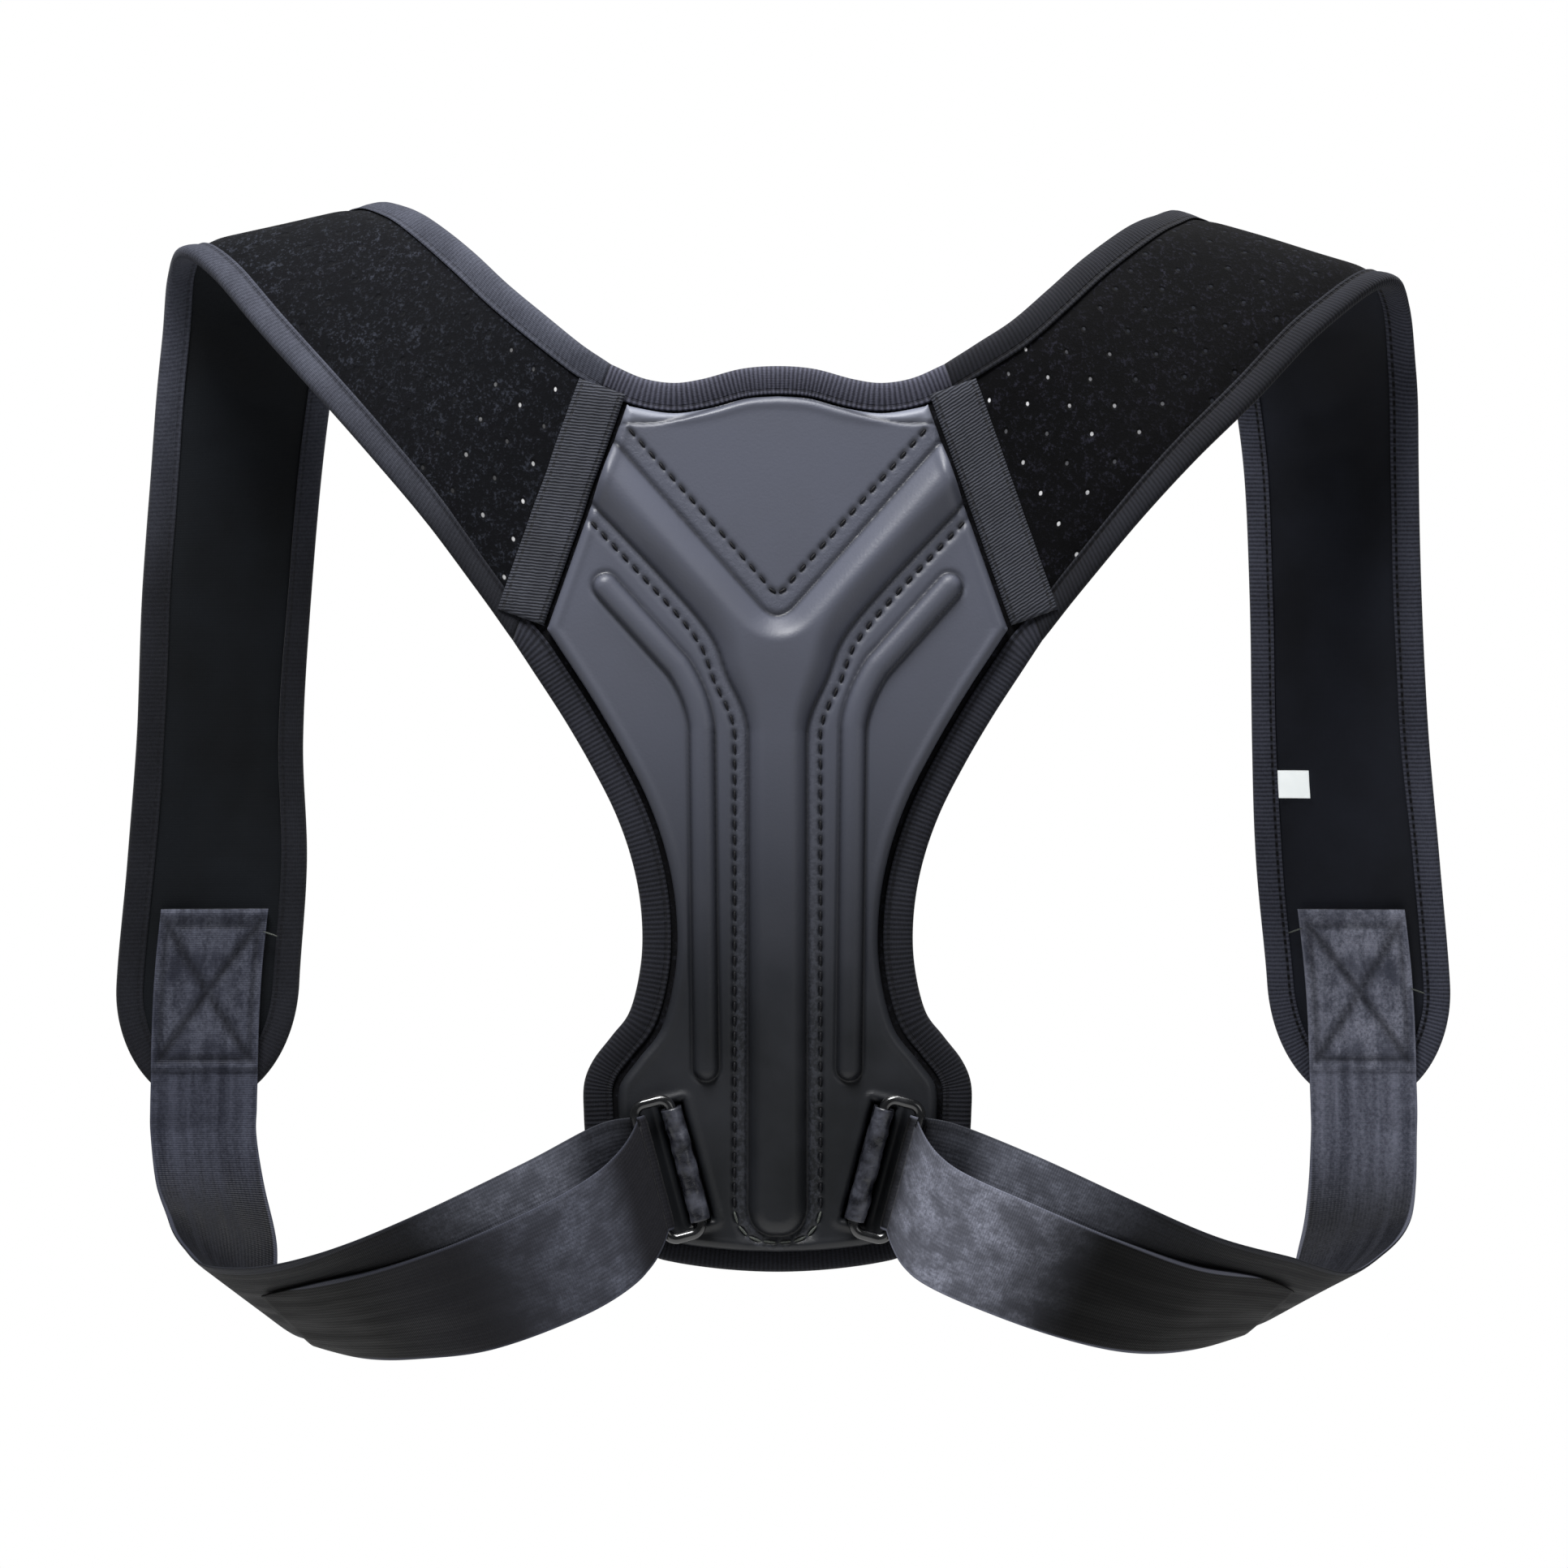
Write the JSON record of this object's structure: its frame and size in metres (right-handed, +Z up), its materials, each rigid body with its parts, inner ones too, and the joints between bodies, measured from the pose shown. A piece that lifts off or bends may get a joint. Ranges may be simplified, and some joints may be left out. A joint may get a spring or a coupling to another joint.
{
  "type": "posture corrector",
  "caption": "Padded shoulder brace with a moulded back plate, shoulder pads over both crests and webbing straps that run back through rings at the foot of the back panel.",
  "frame": {"origin": "midway between the two shoulder crests, at the underside of the shoulder pads, where the brace rests on the wearer", "axes": "+X to the right seen from behind, +Y from the back towards the chest, +Z up"},
  "size_m": [0.4793, 0.154, 0.3961],
  "materials": {
    "plate": "satin moulded foam",
    "padding": "matt knit over foam, perforated on the outer face",
    "binding": "soft woven edge tape",
    "tape": "ribbed grosgrain",
    "webbing": "slightly shiny woven webbing with hook-and-loop nap",
    "ring": "glossy black",
    "anchor": "glossy wrinkled band",
    "label": "smooth white satin, blank"
  },
  "bodies": {
    "root": {"back_panel": "padding", "moulded_plate": "plate", "neck_binding": "binding", "waist_binding": "binding", "shoulder_pad_left": "padding", "pad_binding_left": "binding", "junction_tape_left": "tape", "webbing_left": "webbing", "ring_left": "ring", "anchor_loop_left": "anchor", "shoulder_pad_right": "padding", "pad_binding_right": "binding", "junction_tape_right": "tape", "webbing_right": "webbing", "ring_right": "ring", "anchor_loop_right": "anchor", "care_label": "label"}
  },
  "joints": []
}
